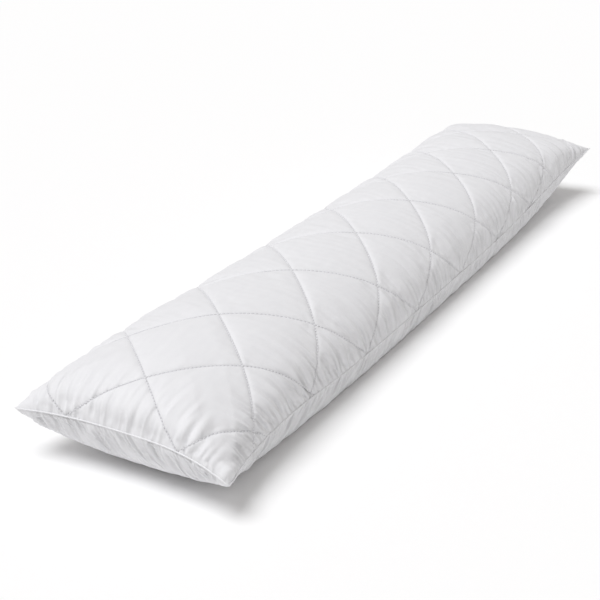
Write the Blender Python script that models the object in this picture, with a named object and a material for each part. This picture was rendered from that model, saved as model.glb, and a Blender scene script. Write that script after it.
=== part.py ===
"""Body pillow, filled and lying flat, with a diamond-quilted top and a corded edge.

Metres, +Z up. The long way of the pillow runs along Y and it rests on Z = 0.
The origin is the middle of the underside. The cloth is worked out in fabric
coordinates: U runs across the top panel from the left seam (0) to the right seam
(1), and V runs along it, in metres, from the near end seam.
"""

import bmesh
import bpy
import numpy as np

# Overall size, corner to corner, and the height of the side seam at mid-length.
CORNER_WIDTH = 0.330
CORNER_LENGTH = 1.434
SEAM_HEIGHT = 0.042

# How far the seams are drawn in between the corners, and how sharply.
SIDE_DRAWN_IN = 0.027
NEAR_END_DRAWN_IN = 0.010
FAR_END_DRAWN_IN = 0.023
SIDE_DRAW_POWER = 9.0
END_DRAW_POWER = 2.5
CORNER_ROUND = 0.004
CORNER_ROUND_POWER = 18.0

# Filling: crown above the seam, belly below it, and the length of each rounded end.
CROWN = 0.114
BELLY = 0.083
END_LENGTH = 0.276
ROUND_POWER = 1.81
SHOULDER_POWER = 2.74
CORNER_SLOPE = 0.5
NEAR_END_BELLY = 0.18
NEAR_END_BELLY_POWER = 8.0

# Rise of the seam, over its height at mid-length, at each corner and each end.
NEAR_LEFT_RISE = 0.030
NEAR_RIGHT_RISE = 0.012
FAR_RIGHT_RISE = 0.054
FAR_LEFT_RISE = 0.043
NEAR_END_RISE = 0.038
FAR_END_RISE = 0.026
SIDE_RISE_POWER = 2.9
CORNER_RISE_POWER = 3.0
END_RISE_POWER = 6.0

# The right seam also swells up a little, a quarter of the way along.
RIGHT_SWELL = 0.0085
RIGHT_SWELL_PLACE = -0.74
RIGHT_SWELL_REACH = 0.19

# Quilting: diamonds whose points stand COLUMN_STEP apart across (as a share of the
# panel) and ROW_STEP apart along it. The pattern is cut a little askew.
COLUMN_STEP = 0.236
ROW_STEP = 0.0898
CENTRE_COLUMN_NEAR = 0.487
CENTRE_COLUMN_FAR = 0.680
FIRST_LINE = -5
LAST_LINE = 21
# By column: how far each crossing was marked off its regular place, as row, mm
# across and mm along the panel. Between crossings the stray is spread smoothly.
STRAYS = {
    -1: (
        (0, -5.1, 0.0), (2, 6.8, -14.5), (4, -4.7, -9.0), (6, -7.0, 5.4),
        (8, -6.5, 15.6), (10, -5.8, 21.7), (12, -8.9, 14.1), (14, -7.0, -3.4),
    ),
    0: (
        (1, 7.3, -9.1), (3, 1.3, -15.6), (5, -2.2, -4.4), (7, -1.1, 5.3),
        (9, -2.1, 12.4), (11, -5.0, 13.6), (13, -6.1, 2.3), (15, -6.7, -13.6),
    ),
    1: (
        (0, 14.1, -0.1), (2, -0.3, -2.5), (4, 3.7, -10.1), (6, 3.9, -2.0),
        (8, 1.9, 6.4), (10, 0.5, 11.5), (12, -7.4, 9.1), (14, -2.7, -5.7),
    ),
    2: (
        (1, -9.7, 17.0), (3, -4.4, -5.8), (5, -6.5, -7.9), (7, -15.6, -0.8),
        (9, -24.4, 6.2), (11, -34.4, 11.4), (13, -44.8, 8.1),
    ),
}
STRAY_COLUMNS = (-1.5, 2.5)
STRAY_ROWS = (-0.5, 16.0)
MM = 0.001
PUFF = 0.009
PUFF_POWER = 0.55
CHANNEL_SHARE = 0.15
PUFF_FADE = 0.10

# Where the mesh is cut between one sewn line (0) and the next (2), the cuts that the
# plain underside leaves out, and the closest that two cuts may meet the seam.
TOP_LINES = (0.0, 0.12, 0.35, 0.65, 1.0, 1.35, 1.65, 1.88)
FINE_LINES = (0.12, 1.88)
SEAM_MERGE = 0.004
EDGE_SNAP = 1e-5
NORMAL_STEP = 0.002
FLAT_ANGLE = 0.0005

# Corded edge.
CORD_RADIUS = 0.0012
CORD_GAP = 0.0004
CORD_STEP = 0.020
CORD_CORNER_STEP = 0.005
CORD_CORNER_REACH = 0.045

WHITE_CLOTH = (0.86, 0.86, 0.85, 1.0)
CORD_CLOTH = (0.90, 0.90, 0.89, 1.0)
TABLE_STEPS = 241


def seam_blend(share, power):
    """1 on the seam, falling to 0 towards the middle."""
    return np.abs(share) ** power


def outline(u, t):
    """Plan of the seams. u and t run from -1 to 1 across and along the pillow."""
    half_width = CORNER_WIDTH / 2 - SIDE_DRAWN_IN * (1 - seam_blend(t, SIDE_DRAW_POWER))
    end_drawn_in = np.where(t < 0, NEAR_END_DRAWN_IN, FAR_END_DRAWN_IN)
    half_length = CORNER_LENGTH / 2 - end_drawn_in * (1 - seam_blend(u, END_DRAW_POWER))
    corner = seam_blend(u * t, CORNER_ROUND_POWER)
    x = u * half_width - np.sign(u) * CORNER_ROUND * corner
    y = t * half_length - np.sign(t) * CORNER_ROUND * corner
    return x, y


def seam_rise(u, t):
    """Height of the mid-plane over the side seam's height at mid-length."""
    near = np.where(u < 0, NEAR_LEFT_RISE, NEAR_RIGHT_RISE)
    far = np.where(u < 0, FAR_LEFT_RISE, FAR_RIGHT_RISE)
    corner_rise = np.where(t < 0, near, far)
    end_rise = np.where(t < 0, NEAR_END_RISE, FAR_END_RISE)
    at_side = seam_blend(u, CORNER_RISE_POWER)
    swell = np.exp(-(((t - RIGHT_SWELL_PLACE) / RIGHT_SWELL_REACH) ** 2))
    along_side = corner_rise * seam_blend(t, SIDE_RISE_POWER) * at_side
    along_side = along_side + np.where(u > 0, RIGHT_SWELL, 0) * swell * at_side
    return along_side + end_rise * seam_blend(t, END_RISE_POWER) * (1 - at_side)


def fullness(u, t):
    """Share of the filling's full height: 1 in the middle, 0 on every seam."""
    across = np.clip(1 - np.abs(u) ** ROUND_POWER, 0, 1)
    end_share = 2 * END_LENGTH / CORNER_LENGTH
    into_end = np.clip((np.abs(t) - 1 + end_share) / end_share, 0, 1)
    along = np.clip(1 - into_end**ROUND_POWER, 0, 1)
    at_corner = np.abs(u) ** 4 * into_end**2
    slope = 1 / SHOULDER_POWER + (CORNER_SLOPE - 1 / SHOULDER_POWER) * at_corner
    return (across * along) ** slope


def top_shell(u, t):
    x, y = outline(u, t)
    z = SEAM_HEIGHT + seam_rise(u, t) + CROWN * fullness(u, t)
    return np.stack([x, y, z], -1)


def bottom_shell(u, t):
    x, y = outline(u, t)
    slack = np.where(t < 0, NEAR_END_BELLY, 0) * seam_blend(t, NEAR_END_BELLY_POWER)
    z = SEAM_HEIGHT + seam_rise(u, t) - BELLY * fullness(u, t) ** (1 - slack)
    return np.stack([x, y, np.maximum(z, 0.0)], -1)


def run_length(points):
    """Distance travelled along rows of points, from the first one."""
    steps = np.linalg.norm(np.diff(points, axis=-2), axis=-1)
    start = np.zeros(steps.shape[:-1] + (1,))
    return np.concatenate([start, np.cumsum(steps, axis=-1)], -1)


# Tables of the cloth's length, from which U and V are turned into u and t.
EASED = np.sin(np.linspace(-np.pi / 2, np.pi / 2, TABLE_STEPS))
CROWN_RUN = run_length(top_shell(np.zeros(TABLE_STEPS), EASED))
PANEL_LENGTH = CROWN_RUN[-1]
ACROSS_TOP = run_length(top_shell(EASED[None, :], EASED[:, None]))
PANEL_WIDTH = ACROSS_TOP[TABLE_STEPS // 2, -1]
ACROSS_BOTTOM = run_length(bottom_shell(EASED[None, :], EASED[:, None]))


def station_of(u_share, v):
    """t for a point of cloth: by the crown's length, and by the seam's at the sides."""
    by_crown = np.interp(v, CROWN_RUN, EASED)
    by_seam = 2 * v / PANEL_LENGTH - 1
    side = np.abs(2 * u_share - 1) ** 3
    return by_crown, by_crown * (1 - side) + by_seam * side


def place(u_share, v, across, shell):
    """Points on a shell for the fabric coordinates U and V."""
    by_crown, t = station_of(u_share, v)
    row = np.interp(by_crown, EASED, np.arange(TABLE_STEPS))
    low = np.minimum(row.astype(int), TABLE_STEPS - 2)
    u = np.empty(len(v))
    for index, (start, rest, share) in enumerate(zip(low, row - low, u_share)):
        first = np.interp(share * across[start, -1], across[start], EASED)
        second = np.interp(share * across[start + 1, -1], across[start + 1], EASED)
        u[index] = first * (1 - rest) + second * rest
    return shell(u, t)


def plate_kernel(first, second):
    apart = ((first[:, None] - second[None]) ** 2).sum(-1)
    return 0.5 * apart * np.log(np.maximum(apart, 1e-12))


def marked_places(column, row):
    """U and V of points of the lattice, with the strays spread as a thin plate bends."""
    known = np.array([(c, r, x * MM, y * MM) for c, marks in STRAYS.items() for r, x, y in marks])
    nodes = known[:, :2]
    plane = np.column_stack([np.ones(len(nodes)), nodes])
    system = np.block([[plate_kernel(nodes, nodes), plane], [plane.T, np.zeros((3, 3))]])
    weights = np.linalg.solve(system, np.vstack([known[:, 2:], np.zeros((3, 2))]))
    where = np.stack([np.clip(column, *STRAY_COLUMNS), np.clip(row, *STRAY_ROWS)], -1)
    stray = plate_kernel(where, nodes) @ weights[:-3]
    stray = stray + np.column_stack([np.ones(len(where)), where]) @ weights[-3:]
    v = ROW_STEP * row
    centre = CENTRE_COLUMN_NEAR + (CENTRE_COLUMN_FAR - CENTRE_COLUMN_NEAR) * v / PANEL_LENGTH
    return centre + COLUMN_STEP * column + stray[:, 0] / PANEL_WIDTH, v + stray[:, 1]


def puff_height(u_share, v, phases):
    """Rise of the quilted cloth over the sewn channels, dying out at the seams.

    Odd whole numbers of either phase are the sewn lines of one direction.
    """
    left_lines, right_lines = phases[:, 0], phases[:, 1]
    dome = np.abs(np.cos(np.pi * left_lines / 2) * np.cos(np.pi * right_lines / 2))
    to_side = np.minimum(u_share, 1 - u_share) / PUFF_FADE
    to_end = np.minimum(v, PANEL_LENGTH - v) / (PUFF_FADE * CORNER_WIDTH)
    fade = np.clip(to_side, 0, 1) * np.clip(to_end, 0, 1)
    return PUFF * (dome**PUFF_POWER - CHANNEL_SHARE) * fade


def flat_panel():
    """The top panel as cut cloth in the plane, its threads along the quilting lines."""
    turns = range(FIRST_LINE, LAST_LINE, 2)
    lines = np.array([turn + offset for turn in turns for offset in TOP_LINES])
    left, right = (grid.ravel() for grid in np.meshgrid(lines, lines, indexing="ij"))
    u_share, v = marked_places((right - left) / 2, (left + right) / 2)
    panel = bmesh.new()
    phase = panel.verts.layers.float_vector.new("phase")
    verts = [panel.verts.new((x, y, 0)) for x, y in zip(u_share, v)]
    for vert, low, high in zip(verts, left, right):
        vert[phase] = (low, high, 0)
    count = len(lines)
    for i in range(count - 1):
        for j in range(count - 1):
            corner = i * count + j
            panel.faces.new([verts[corner + k] for k in (0, 1, count + 1, count)])
    edges = [((0, 0, 0), (-1, 0, 0)), ((1, 0, 0), (1, 0, 0)),
             ((0, 0, 0), (0, -1, 0)), ((0, PANEL_LENGTH, 0), (0, 1, 0))]
    for point, outward in edges:
        bmesh.ops.bisect_plane(
            panel,
            geom=panel.verts[:] + panel.edges[:] + panel.faces[:],
            plane_co=point,
            plane_no=outward,
            clear_outer=True,
            dist=1e-6,
        )
    for vert in panel.verts:
        for axis, size in enumerate((1.0, PANEL_LENGTH)):
            if abs(vert.co[axis]) < EDGE_SNAP:
                vert.co[axis] = 0.0
            elif abs(vert.co[axis] - size) < EDGE_SNAP:
                vert.co[axis] = size
    return panel


def merge_close(panel):
    """Runs together the cuts that meet the panel's edge almost at one place."""
    scale = CORNER_WIDTH
    for vert in panel.verts:
        vert.co.x *= scale
    corners = [v for v in panel.verts if len(v.link_edges) == 2 and len(v.link_faces) == 1]
    edge_verts = [v for v in panel.verts if v.is_boundary and v not in corners]
    order = sorted(edge_verts, key=lambda v: (v.co.x > scale / 2, v.co.y, v.co.x))
    anchors = corners[:]
    moved = {}
    for vert in order:
        close = [a for a in anchors if (a.co - vert.co).length < SEAM_MERGE]
        if close:
            moved[vert] = close[0]
        else:
            anchors.append(vert)
    bmesh.ops.weld_verts(panel, targetmap=moved)
    for vert in panel.verts:
        vert.co.x /= scale


def shape_panel(panel, across, shell, quilted):
    """Lifts the flat panel onto its shell, with the quilting raised on the top one."""
    flat = np.array([v.co for v in panel.verts])
    u_share = np.clip(flat[:, 0], 0, 1)
    v = np.clip(flat[:, 1], 0, PANEL_LENGTH)
    points = place(u_share, v, across, shell)
    if quilted:
        left = np.clip(u_share - NORMAL_STEP, 0, 1)
        right = np.clip(u_share + NORMAL_STEP, 0, 1)
        behind = np.clip(v - NORMAL_STEP, 0, PANEL_LENGTH)
        ahead = np.clip(v + NORMAL_STEP, 0, PANEL_LENGTH)
        across_cloth = place(right, v, across, shell) - place(left, v, across, shell)
        along_cloth = place(u_share, ahead, across, shell) - place(u_share, behind, across, shell)
        normal = np.cross(across_cloth, along_cloth)
        normal /= np.maximum(np.linalg.norm(normal, axis=1, keepdims=True), 1e-12)
        phase = panel.verts.layers.float_vector["phase"]
        phases = np.array([vert[phase] for vert in panel.verts])
        points = points + normal * puff_height(u_share, v, phases)[:, None]
    for vert, point in zip(panel.verts, points):
        vert.co = point


def drop_fine_lines(panel):
    """The plain underside needs no lines close beside a channel."""
    spare = []
    phase = panel.verts.layers.float_vector["phase"]
    for edge in panel.edges:
        if edge.is_boundary:
            continue
        ends = np.array([v[phase] for v in edge.verts])
        for family in ends.T[:2]:
            place_in_diamond = (family + 1) % 2
            on_line = abs(family[0] - family[1]) < 1e-3
            if on_line and min(abs(place_in_diamond[0] - f) for f in FINE_LINES) < 1e-3:
                spare.append(edge)
                break
    bmesh.ops.dissolve_edges(panel, edges=spare, use_verts=False, use_face_split=False)
    inner = [v for v in panel.verts if not v.is_boundary and len(v.link_edges) == 2]
    bmesh.ops.dissolve_verts(panel, verts=inner)


def centre_edge_faces(panel):
    """Gives each wide face on the seam a middle point, so the two panels share only the seam."""
    chords = [e for e in panel.edges if not e.is_boundary and all(v.is_boundary for v in e.verts)]
    bmesh.ops.dissolve_edges(panel, edges=chords, use_verts=False)
    wide = [f for f in panel.faces if sum(v.is_boundary for v in f.verts) > 2]
    bmesh.ops.poke(panel, faces=wide)


def cloth_material(name, colour, roughness):
    material = bpy.data.materials.new(name)
    material.use_nodes = True
    shader = material.node_tree.nodes["Principled BSDF"]
    shader.inputs["Base Color"].default_value = colour
    shader.inputs["Roughness"].default_value = roughness
    shader.inputs["Metallic"].default_value = 0.0
    return material


def make_pillow(collection):
    """One closed, filled solid: the quilted top and the plain underside."""
    panel = flat_panel()
    merge_close(panel)
    underside = panel.copy()
    drop_fine_lines(underside)
    centre_edge_faces(panel)
    centre_edge_faces(underside)
    shape_panel(panel, ACROSS_TOP, top_shell, True)
    shape_panel(underside, ACROSS_BOTTOM, bottom_shell, False)
    bmesh.ops.reverse_faces(underside, faces=underside.faces[:])
    inner_verts = [v for v in underside.verts if not v.is_boundary]
    inner_edges = [e for e in underside.edges if not e.is_boundary]
    bmesh.ops.dissolve_limit(
        underside, angle_limit=FLAT_ANGLE, verts=inner_verts, edges=inner_edges
    )
    mesh = bpy.data.meshes.new("pillow")
    underside.to_mesh(mesh)
    panel.from_mesh(mesh)
    bmesh.ops.remove_doubles(panel, verts=panel.verts[:], dist=1e-6)
    bmesh.ops.triangulate(panel, faces=panel.faces[:])
    bmesh.ops.recalc_face_normals(panel, faces=panel.faces[:])
    panel.verts.layers.float_vector.remove(panel.verts.layers.float_vector["phase"])
    panel.to_mesh(mesh)
    panel.free()
    underside.free()
    pillow = bpy.data.objects.new("pillow", mesh)
    collection.objects.link(pillow)
    mesh.materials.append(cloth_material("white_microfibre", WHITE_CLOTH, 0.85))
    mesh.shade_smooth()
    mesh.set_sharp_from_angle(angle=np.radians(50))
    return pillow


def seam_stations():
    """(u, t) all round the seam, closer together at the corners."""

    def side(length):
        count = round((length / 2 - CORD_CORNER_REACH) / CORD_STEP)
        fine = round(CORD_CORNER_REACH / CORD_CORNER_STEP)
        reach = CORD_CORNER_REACH * 2 / length
        middle = np.linspace(-1 + reach, 1 - reach, 2 * count + 1)
        corner = np.linspace(0, reach, fine, endpoint=False)
        return np.concatenate([-1 + corner, middle, (1 - corner)[::-1]])

    across = side(CORNER_WIDTH)[:-1]
    along = side(CORNER_LENGTH)[:-1]
    ones_across = np.ones(len(across))
    ones_along = np.ones(len(along))
    u = np.concatenate([across, ones_along, -across, -ones_along])
    t = np.concatenate([-ones_across, along, ones_across, -along])
    return u, t


def make_edge_piping(collection):
    """A thin cord sewn into the seam, one closed ring just clear of the pillow."""
    u, t = seam_stations()
    seam = top_shell(u, t)
    ahead = np.roll(seam, -1, axis=0) - np.roll(seam, 1, axis=0)
    outward = np.stack([ahead[:, 1], -ahead[:, 0], np.zeros(len(seam))], -1)
    outward /= np.linalg.norm(outward, axis=1, keepdims=True)
    route = seam + outward * (CORD_RADIUS + CORD_GAP)
    curve = bpy.data.curves.new("edge_piping", "CURVE")
    curve.dimensions = "3D"
    curve.bevel_depth = CORD_RADIUS
    curve.bevel_resolution = 1
    spline = curve.splines.new("POLY")
    spline.points.add(len(route) - 1)
    for point, co in zip(spline.points, route):
        point.co = (*co, 1)
    spline.use_cyclic_u = True
    piping = bpy.data.objects.new("edge_piping", curve)
    collection.objects.link(piping)
    curve.materials.append(cloth_material("white_cord", CORD_CLOTH, 0.8))
    return piping


def main():
    for old in list(bpy.data.objects):
        bpy.data.objects.remove(old, do_unlink=True)
    collection = bpy.data.collections.new("body_pillow")
    bpy.context.scene.collection.children.link(collection)
    make_pillow(collection)
    make_edge_piping(collection)


main()
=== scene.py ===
import math

import bmesh
import bpy
import numpy as np
from mathutils import Matrix, Vector


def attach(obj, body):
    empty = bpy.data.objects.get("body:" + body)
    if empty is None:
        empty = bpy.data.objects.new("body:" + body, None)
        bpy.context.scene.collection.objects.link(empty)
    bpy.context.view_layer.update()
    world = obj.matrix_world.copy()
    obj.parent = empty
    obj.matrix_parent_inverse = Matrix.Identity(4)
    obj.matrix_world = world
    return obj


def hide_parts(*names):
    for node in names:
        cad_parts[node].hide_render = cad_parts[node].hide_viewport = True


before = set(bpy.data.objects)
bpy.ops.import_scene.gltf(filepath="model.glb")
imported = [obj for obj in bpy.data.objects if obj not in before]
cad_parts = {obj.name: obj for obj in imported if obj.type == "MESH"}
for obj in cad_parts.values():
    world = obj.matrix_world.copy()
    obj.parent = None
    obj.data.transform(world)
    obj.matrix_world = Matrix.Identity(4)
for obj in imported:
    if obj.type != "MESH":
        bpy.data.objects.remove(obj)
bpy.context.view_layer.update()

print("frame loaded:", ", ".join(sorted(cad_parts)))


# everything is in metres, the pillow's long way runs along Y and it lies on z = 0
# u and t run from -1 to 1 across and along the filling, seam to seam
# shareU (0 to 1 across) and runV (metres along) are places on the cut cloth of a panel

shapeSettings = {
    "cornerWidth": 0.330, "cornerLength": 1.434, "seamHeight": 0.042,
    # how far the seams come in between the corners
    "sideDrawnIn": 0.027, "nearEndDrawnIn": 0.010, "farEndDrawnIn": 0.023,
    "sideDrawPower": 9.0, "endDrawPower": 2.5,
    "cornerRound": 0.004, "cornerRoundPower": 18.0,
    # the filling above and below the seams, and how it falls away towards them
    "crown": 0.114, "belly": 0.083, "endLength": 0.276,
    "roundPower": 1.81, "shoulderPower": 2.74, "cornerSlope": 0.5,
    "nearEndBelly": 0.18, "nearEndBellyPower": 8.0,
    # how far the seams rise above the seam height
    "cornerRise": {"nearLeft": 0.030, "nearRight": 0.012, "farRight": 0.054, "farLeft": 0.043},
    "nearEndRise": 0.038, "farEndRise": 0.026,
    "sideRisePower": 2.9, "cornerRisePower": 3.0, "endRisePower": 6.0,
    "rightSwell": 0.0085, "rightSwellPlace": -0.74, "rightSwellReach": 0.19,
    "uprightReach": 0.05,         # the cloth stands upright this far in from an end seam
    "tableSteps": 241,
}

quiltSettings = {
    "columnStep": 0.236,          # half a diamond across, as a share of the panel
    "rowStep": 0.0898,            # half a diamond along
    "centreNear": 0.487, "centreFar": 0.680,   # the pattern was cut a little askew
    "phaseRange": (-5, 21),       # the phases that the cloth spans before it is trimmed
    "lastDown": 16,               # no line was sewn across the far right corner
    "cellsPerSide": 20,           # mesh cells along one side of a diamond
    "lineCrowding": 0.25,         # rows stand closer beside the sewn lines
    "seamMerge": 0.0022,          # threads that meet the seam closer together than this are one
    "mergeInside": 0.7,           # and so are points inside the seam by up to this share of that
    "onEdge": 0.0001,             # a point this near the edge is on it
    # past these columns and rows the pattern strays as it does there
    "strayColumns": (-1.5, 2.5), "strayRows": (-0.5, 16),
    # by column: where the marker strayed at each crossing, as row, mm across and mm along
    "strays": {
        -1: [(0, -5.1, 0.0), (2, 6.8, -14.5), (4, -4.7, -9.0), (6, -7.0, 5.4), (8, -6.5, 15.6),
             (10, -5.8, 21.7), (12, -8.9, 14.1), (14, -7.0, -3.4)],
        0: [(1, 7.3, -9.1), (3, 1.3, -15.6), (5, -2.2, -4.4), (7, -1.1, 5.3), (9, -2.1, 12.4),
            (11, -5.0, 13.6), (13, -6.1, 2.3), (15, -6.7, -13.6)],
        1: [(0, 14.1, -0.1), (2, -0.3, -2.5), (4, 3.7, -10.1), (6, 3.9, -2.0), (8, 1.9, 6.4),
            (10, 0.5, 11.5), (12, -7.4, 9.1), (14, -2.7, -5.7)],
        2: [(1, -9.7, 17.0), (3, -4.4, -5.8), (5, -6.5, -7.9), (7, -15.6, -0.8), (9, -24.4, 6.2),
            (11, -34.4, 11.4), (13, -44.8, 8.1)],
    },
}


def seamOutline(u, t):
    s = shapeSettings
    halfWidth = s["cornerWidth"] / 2 - s["sideDrawnIn"] * (1 - np.abs(t) ** s["sideDrawPower"])
    drawnIn = np.where(t < 0, s["nearEndDrawnIn"], s["farEndDrawnIn"])
    halfLength = s["cornerLength"] / 2 - drawnIn * (1 - np.abs(u) ** s["endDrawPower"])
    corner = s["cornerRound"] * np.abs(u * t) ** s["cornerRoundPower"]
    return u * halfWidth - np.sign(u) * corner, t * halfLength - np.sign(t) * corner


def seamRise(u, t):
    s = shapeSettings
    rise = s["cornerRise"]
    near = np.where(u < 0, rise["nearLeft"], rise["nearRight"])
    far = np.where(u < 0, rise["farLeft"], rise["farRight"])
    endRise = np.where(t < 0, s["nearEndRise"], s["farEndRise"])
    atSide = np.abs(u) ** s["cornerRisePower"]
    fromSwell = (t - s["rightSwellPlace"]) / s["rightSwellReach"]
    swell = np.where(u > 0, s["rightSwell"], 0) * np.exp(-fromSwell ** 2)
    alongSide = (np.where(t < 0, near, far) * np.abs(t) ** s["sideRisePower"] + swell) * atSide
    return alongSide + endRise * np.abs(t) ** s["endRisePower"] * (1 - atSide)


def fullness(u, t):
    # 1 in the middle of the filling, 0 on every seam
    s = shapeSettings
    across = np.clip(1 - np.abs(u) ** s["roundPower"], 0, 1)
    endShare = 2 * s["endLength"] / s["cornerLength"]
    intoEnd = np.clip((np.abs(t) - 1 + endShare) / endShare, 0, 1)
    along = np.clip(1 - intoEnd ** s["roundPower"], 0, 1)
    slope = 1 / s["shoulderPower"]
    slope = slope + (s["cornerSlope"] - slope) * np.abs(u) ** 4 * intoEnd ** 2
    return (across * along) ** slope


def topShell(u, t):
    x, y = seamOutline(u, t)
    z = shapeSettings["seamHeight"] + seamRise(u, t) + shapeSettings["crown"] * fullness(u, t)
    return np.stack([x, y, z], -1)


def undersideShell(u, t):
    s = shapeSettings
    x, y = seamOutline(u, t)
    slack = np.where(t < 0, s["nearEndBelly"], 0) * np.abs(t) ** s["nearEndBellyPower"]
    z = s["seamHeight"] + seamRise(u, t) - s["belly"] * fullness(u, t) ** (1 - slack)
    return np.stack([x, y, np.maximum(z, 0.0)], -1)


def runLength(points):
    steps = np.linalg.norm(np.diff(points, axis=-2), axis=-1)
    return np.concatenate([np.zeros(steps.shape[:-1] + (1,)), np.cumsum(steps, axis=-1)], -1)


# the cloth's length over the filling, by which shareU and runV are turned into u and t
tableSteps = shapeSettings["tableSteps"]
# the steps crowd towards the seams, where the cloth stands upright
eased = np.sin(np.pi / 2 * np.sin(np.linspace(-np.pi / 2, np.pi / 2, tableSteps)))
crownRun = runLength(topShell(np.zeros(tableSteps), eased))
panelLength = crownRun[-1]
acrossTop = runLength(topShell(eased[None, :], eased[:, None]))
acrossUnderside = runLength(undersideShell(eased[None, :], eased[:, None]))
panelWidth = acrossTop[tableSteps // 2, -1]

# metres of sewn line for each unit of its phase
phaseUnit = math.hypot(quiltSettings["columnStep"] * panelWidth, quiltSettings["rowStep"]) / 2


def layOnFilling(shareU, runV, across, shell):
    # in the middle the cloth takes its length along the crown, at the sides along the seam
    byCrown = np.interp(runV, crownRun, eased)
    bySeam = 2 * runV / panelLength - 1
    atSide = np.abs(2 * shareU - 1) ** 3
    # the first cloth beside an end seam stands upright, so it isn't drawn along there
    toEnd = np.minimum(runV, panelLength - runV)
    fromEnd = np.clip(toEnd / shapeSettings["uprightReach"], 0, 1) ** 2
    atSide = atSide * (fromEnd + (1 - fromEnd) * atSide ** 2)
    t = byCrown * (1 - atSide) + bySeam * atSide
    row = np.interp(byCrown, eased, np.arange(tableSteps))
    low = np.minimum(row.astype(int), tableSteps - 2)
    blend = row - low
    u = np.empty(len(runV))
    # points are taken a row of the table at a time
    for start in np.unique(low):
        here = np.nonzero(low == start)[0]
        first = np.interp(shareU[here] * across[start, -1], across[start], eased)
        second = np.interp(shareU[here] * across[start + 1, -1], across[start + 1], eased)
        u[here] = first * (1 - blend[here]) + second * blend[here]
    return shell(u, t)


def plateKernel(first, second):
    # the bending of a thin plate
    apart = ((first[:, None] - second[None]) ** 2).sum(-1)
    return 0.5 * apart * np.log(np.maximum(apart, 1e-12))


def markedPlaces(column, row):
    # where points of the lattice lie on the cloth; the strays are spread smoothly between the crossings
    s = quiltSettings
    known = np.array([
        (markColumn, markRow, across / 1000, along / 1000)
        for markColumn, marks in s["strays"].items()
        for markRow, across, along in marks
    ])
    nodes = known[:, :2]
    affine = np.column_stack([np.ones(len(nodes)), nodes])
    system = np.block([[plateKernel(nodes, nodes), affine], [affine.T, np.zeros((3, 3))]])
    weights = np.linalg.solve(system, np.vstack([known[:, 2:], np.zeros((3, 2))]))
    where = np.stack([np.clip(column, *s["strayColumns"]), np.clip(row, *s["strayRows"])], -1)
    even = np.column_stack([np.ones(len(where)), where])
    stray = plateKernel(where, nodes) @ weights[:-3] + even @ weights[-3:]
    runV = s["rowStep"] * row
    centre = s["centreNear"] + (s["centreFar"] - s["centreNear"]) * runV / panelLength
    return centre + s["columnStep"] * column + stray[:, 0] / panelWidth, runV + stray[:, 1]


def vertexNormals(mesh):
    found = np.empty(len(mesh.vertices) * 3)
    mesh.vertices.foreach_get("normal", found)
    return found.reshape(-1, 3)


def setPoints(mesh, points):
    mesh.vertices.foreach_set("co", np.asarray(points, float).ravel())
    mesh.update()


def getPoints(obj):
    mesh = obj.data
    found = np.empty(len(mesh.vertices) * 3)
    mesh.vertices.foreach_get("co", found)
    return found.reshape(-1, 3)


def readVectors(mesh, name):
    found = np.empty(len(mesh.vertices) * 3)
    mesh.attributes[name].data.foreach_get("vector", found)
    return found.reshape(-1, 3)


def writeVectors(mesh, name, values):
    layer = mesh.attributes.new(name, "FLOAT_VECTOR", "POINT")
    layer.data.foreach_set("vector", values.ravel())


def addUvMap(mesh, name, across, along):
    corner = np.empty(len(mesh.loops), int)
    mesh.loops.foreach_get("vertex_index", corner)
    layer = mesh.uv_layers.new(name=name)
    layer.data.foreach_set("uv", np.stack([across[corner], along[corner]], -1).ravel())


def deselectAll():
    if bpy.context.mode != "OBJECT":
        bpy.ops.object.mode_set(mode="OBJECT")
    bpy.ops.object.select_all(action="DESELECT")


def makeActive(piece):
    deselectAll()
    piece.select_set(True)
    bpy.context.view_layer.objects.active = piece


def addToScene(name, data):
    piece = bpy.data.objects.new(name, data)
    bpy.context.scene.collection.objects.link(piece)
    return piece


def cutPanel(name):
    # a grid whose threads run along the two directions of quilting, trimmed to the panel
    # phase P is row - column and phase Q is row + column, and where either is odd a line is sewn
    s = quiltSettings
    lowest, highest = s["phaseRange"]
    middle = (lowest + highest) / 2
    count = (highest - lowest) // 2 * s["cellsPerSide"]
    deselectAll()
    bpy.ops.mesh.primitive_grid_add(
        x_subdivisions=count, y_subdivisions=count,
        size=highest - lowest, location=(middle, middle, 0),
    )
    panel = bpy.context.object
    panel.name = name
    bpy.ops.object.transform_apply(location=True, rotation=False, scale=False)
    share = (getPoints(panel)[:, :2] + 1) / 2
    crowded = share - s["lineCrowding"] * np.sin(2 * np.pi * share) / (2 * np.pi)
    phaseQ, phaseP = (2 * crowded - 1).T
    shareU, runV = markedPlaces((phaseQ - phaseP) / 2, (phaseP + phaseQ) / 2)
    flat = np.zeros(len(runV))
    setPoints(panel.data, np.stack([shareU * panelWidth, runV, flat], -1))
    writeVectors(panel.data, "quilt", np.stack([phaseP, phaseQ, flat], -1))
    bpy.ops.object.mode_set(mode="EDIT")
    edges = [
        ((0, 0, 0), (-1, 0, 0)), ((panelWidth, 0, 0), (1, 0, 0)),
        ((0, 0, 0), (0, -1, 0)), ((0, panelLength, 0), (0, 1, 0)),
    ]
    for place, outward in edges:
        bpy.ops.mesh.select_all(action="SELECT")
        bpy.ops.mesh.bisect(plane_co=place, plane_no=outward, clear_outer=True, threshold=1e-5)
    bpy.ops.object.mode_set(mode="OBJECT")
    return panel


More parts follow.
